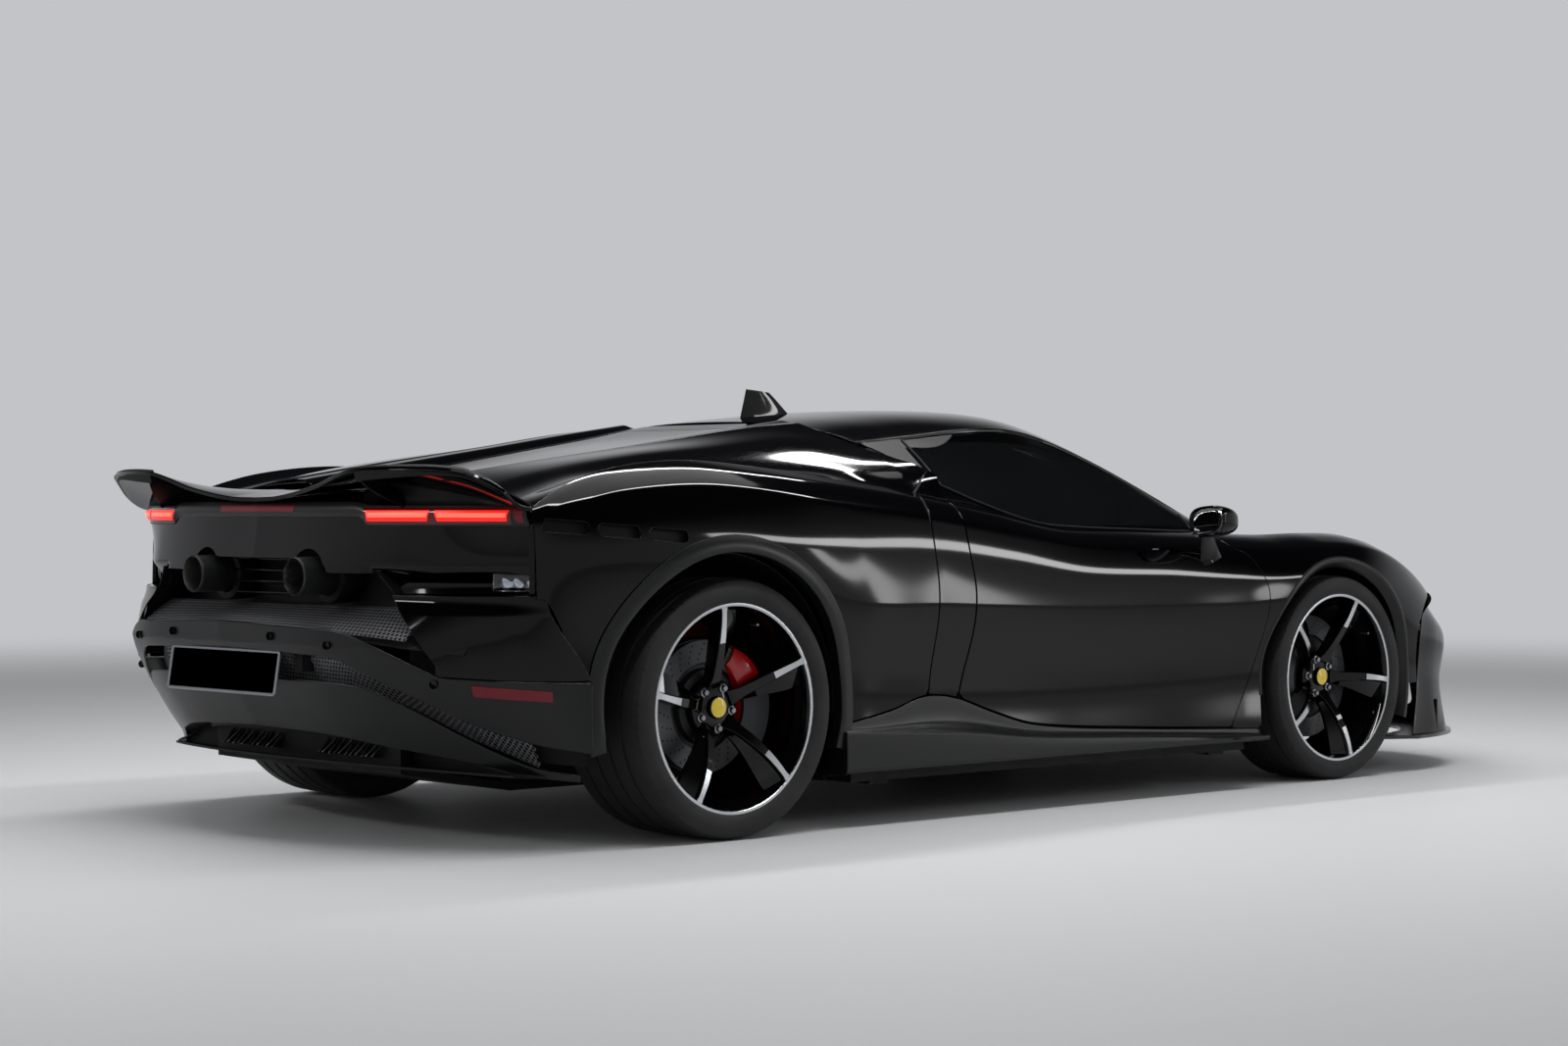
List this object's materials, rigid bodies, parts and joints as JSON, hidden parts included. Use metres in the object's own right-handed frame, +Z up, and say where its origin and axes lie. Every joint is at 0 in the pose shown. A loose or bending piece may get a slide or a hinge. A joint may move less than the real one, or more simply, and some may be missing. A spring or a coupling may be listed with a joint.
{
  "type": "supercar",
  "caption": "Low mid-engine two-door sports coupe with wide rear haunches, cab-forward cabin, ducktail and deep diffuser; wheels, steering, doors and both lids move",
  "frame": {"origin": "on the ground, midway between the nose and the tail and between the sides", "axes": "+X forward, +Y to the driver's left, +Z up"},
  "size_m": [4.7076, 2.0944, 1.245],
  "materials": {
    "paint": "gloss black with clear coat",
    "carbon": "satin black composite",
    "black_plastic": "satin black",
    "screen_glass": "lightly tinted laminated glass",
    "side_glass": "lightly tinted",
    "dark_glass": "dark tinted",
    "lamp_glass": "clear lamp cover",
    "lamp_red": "red lamp",
    "dark_steel": "dark, satin",
    "engine_alloy": "red crackle and bare alloy",
    "leather": "black hide",
    "tyre": "matt black rubber",
    "rim_black": "gloss black with machined strips"
  },
  "bodies": {
    "body": {"floor": "carbon", "front_bumper": "paint", "splitter": "carbon", "headlamps": "lamp_glass", "cowl": "black_plastic", "fender_left": "paint", "fender_right": "paint", "windscreen": "screen_glass", "roof": "paint", "quarter_left": "paint", "quarter_right": "paint", "quarter_glass": "dark_glass", "spoiler": "paint", "tail_panel": "paint", "tail_lamps": "lamp_red", "exhaust": "dark_steel", "diffuser": "black_plastic", "plate": "black_plastic", "side_skirts": "carbon", "engine": "engine_alloy", "seats": "leather", "dashboard": "leather", "steering_wheel": "leather", "wheel_liners": "black_plastic", "front_suspension": "dark_steel", "rear_suspension": "dark_steel"},
    "bonnet": {"bonnet": "paint"},
    "engine_lid": {"engine_lid": "paint", "engine_lid_glass": "dark_glass"},
    "door_left": {"door_left": "paint", "door_glass_left": "side_glass", "mirror_left": "paint"},
    "knuckle_left": {"knuckle_left": "dark_steel"},
    "wheel_front_left": {"tyre_front_left": "tyre", "rim_front_left": "rim_black"},
    "wheel_rear_left": {"tyre_rear_left": "tyre", "rim_rear_left": "rim_black"},
    "door_right": {"door_right": "paint", "door_glass_right": "side_glass", "mirror_right": "paint"},
    "knuckle_right": {"knuckle_right": "dark_steel"},
    "wheel_front_right": {"tyre_front_right": "tyre", "rim_front_right": "rim_black"},
    "wheel_rear_right": {"tyre_rear_right": "tyre", "rim_rear_right": "rim_black"}
  },
  "joints": [
    {"name": "steer_left", "type": "hinge", "parent": "body", "child": "knuckle_left", "pos_m": [1.275, 0.767, 0.3305], "axis": [0, 0, 1], "range_deg": [-32, 32]},
    {"name": "steer_right", "type": "hinge", "parent": "body", "child": "knuckle_right", "pos_m": [1.275, -0.767, 0.3305], "axis": [0, 0, 1], "range_deg": [-32, 32]},
    {"name": "spin_front_left", "type": "hinge", "parent": "knuckle_left", "child": "wheel_front_left", "pos_m": [1.275, 0.8, 0.3305], "axis": [0, 1, 0], "continuous": true},
    {"name": "spin_rear_left", "type": "hinge", "parent": "body", "child": "wheel_rear_left", "pos_m": [-1.375, 0.8, 0.348], "axis": [0, 1, 0], "continuous": true},
    {"name": "spin_front_right", "type": "hinge", "parent": "knuckle_right", "child": "wheel_front_right", "pos_m": [1.275, -0.8, 0.3305], "axis": [0, 1, 0], "continuous": true},
    {"name": "spin_rear_right", "type": "hinge", "parent": "body", "child": "wheel_rear_right", "pos_m": [-1.375, -0.8, 0.348], "axis": [0, 1, 0], "continuous": true},
    {"name": "hinge_door_left", "type": "hinge", "parent": "body", "child": "door_left", "pos_m": [0.82, 0.935, 0.5], "axis": [0, 0, -1], "range_deg": [0, 60]},
    {"name": "hinge_door_right", "type": "hinge", "parent": "body", "child": "door_right", "pos_m": [0.82, -0.935, 0.5], "axis": [0, 0, 1], "range_deg": [0, 60]},
    {"name": "hinge_bonnet", "type": "hinge", "parent": "body", "child": "bonnet", "pos_m": [1.184, 0, 0.79], "axis": [0, -1, 0], "range_deg": [0, 55]},
    {"name": "hinge_engine_lid", "type": "hinge", "parent": "body", "child": "engine_lid", "pos_m": [-0.655, 0, 1.128], "axis": [0, 1, 0], "range_deg": [0, 50]}
  ],
  "couplings": [
    {"joint": "steer_right", "follows": "steer_left", "ratio": 1}
  ]
}
